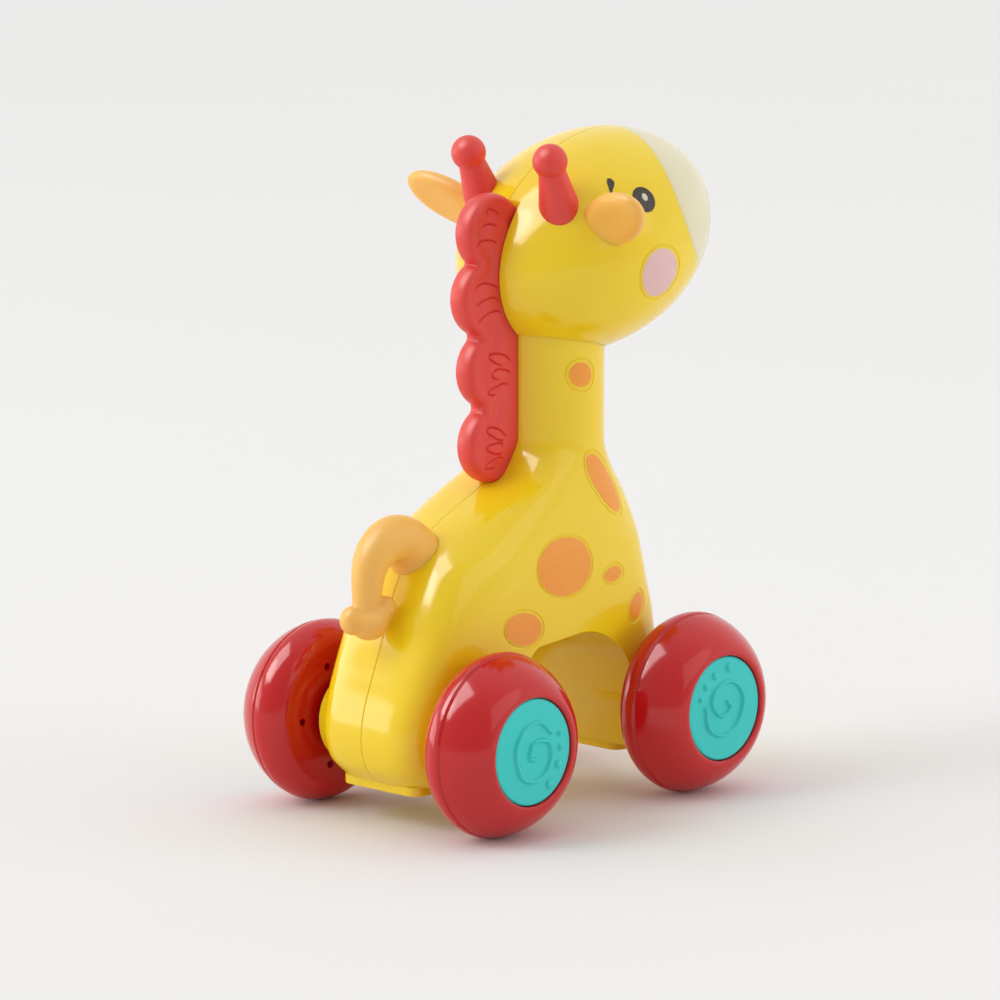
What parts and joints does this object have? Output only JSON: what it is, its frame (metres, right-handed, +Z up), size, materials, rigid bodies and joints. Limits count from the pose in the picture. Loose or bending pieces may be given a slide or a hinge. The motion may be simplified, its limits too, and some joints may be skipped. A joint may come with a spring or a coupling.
{
  "type": "press and go toy",
  "caption": "Toy giraffe on wheels that is pushed down by the head, so that a rack and gears inside its body drive the rear axle and it rolls away.",
  "frame": {"origin": "on the floor under the middle of the toy's length and width", "axes": "+X forward, the way the giraffe faces and rolls; +Y to its left; +Z up"},
  "size_m": [0.1112, 0.078, 0.1526],
  "materials": {
    "yellow": "moulded ABS, high gloss, golden yellow",
    "red": "moulded ABS, high gloss, deep red",
    "coral": "moulded soft PVC, satin, coral red",
    "teal": "moulded ABS, satin, teal",
    "amber": "moulded soft PVC, satin, amber",
    "cream": "moulded ABS, gloss, pale cream",
    "white": "moulded acetal, natural white",
    "steel": "drawn steel, plain"
  },
  "bodies": {
    "body": {"body_shell_left": "yellow", "body_shell_right": "yellow", "rear_base_plate": "yellow", "front_base_plate": "yellow", "tail": "amber", "mane": "coral", "shell_screws": "steel", "base_screws": "steel", "neck_guide": "white", "gearbox_left": "white", "gearbox_right": "white", "gearbox_screws": "steel", "drive_pin": "steel", "rear_bush_left": "white", "rear_bush_right": "white", "front_bush_left": "white", "front_bush_right": "white", "return_spring": "steel"},
    "head": {"head_shell_left": "yellow", "head_shell_right": "yellow", "muzzle": "cream", "horn_left": "coral", "horn_right": "coral", "ear_left": "amber", "ear_right": "amber", "head_screws": "steel", "plunger": "white"},
    "drive_gear": {"drive_gear": "white"},
    "float_gear": {"float_gear": "white"},
    "rear_wheels": {"rear_axle": "steel", "axle_gear": "white", "wheel_outer_rear_left": "red", "wheel_inner_rear_left": "red", "hub_cap_rear_left": "teal", "wheel_outer_rear_right": "red", "wheel_inner_rear_right": "red", "hub_cap_rear_right": "teal"},
    "front_wheels": {"front_axle": "steel", "wheel_outer_front_left": "red", "wheel_inner_front_left": "red", "hub_cap_front_left": "teal", "wheel_outer_front_right": "red", "wheel_inner_front_right": "red", "hub_cap_front_right": "teal"}
  },
  "joints": [
    {"name": "head_press", "type": "slide", "parent": "body", "child": "head", "axis": [0, 0, -1], "range_m": [0, 0.01], "stiffness_N_per_m": 260, "springref_m": -0.006, "deforming": ["return_spring"]},
    {"name": "drive_spin", "type": "hinge", "parent": "body", "child": "drive_gear", "pos_m": [-0.02659, 0, 0.038], "axis": [0, 1, 0], "range_deg": [0, 143.3]},
    {"name": "float_spin", "type": "hinge", "parent": "body", "child": "float_gear", "pos_m": [-0.03785, 0, 0.0315], "axis": [0, 1, 0], "range_deg": [-322.4, 0]},
    {"name": "rear_axle_spin", "type": "hinge", "parent": "body", "child": "rear_wheels", "pos_m": [-0.03459, 0, 0.021], "axis": [0, 1, 0], "continuous": true},
    {"name": "front_axle_spin", "type": "hinge", "parent": "body", "child": "front_wheels", "pos_m": [0.02941, 0, 0.021], "axis": [0, 1, 0], "continuous": true}
  ],
  "couplings": [
    {"joint": "drive_spin", "follows": "head_press", "rad_per_m": 250},
    {"joint": "float_spin", "follows": "head_press", "rad_per_m": -562.5}
  ]
}
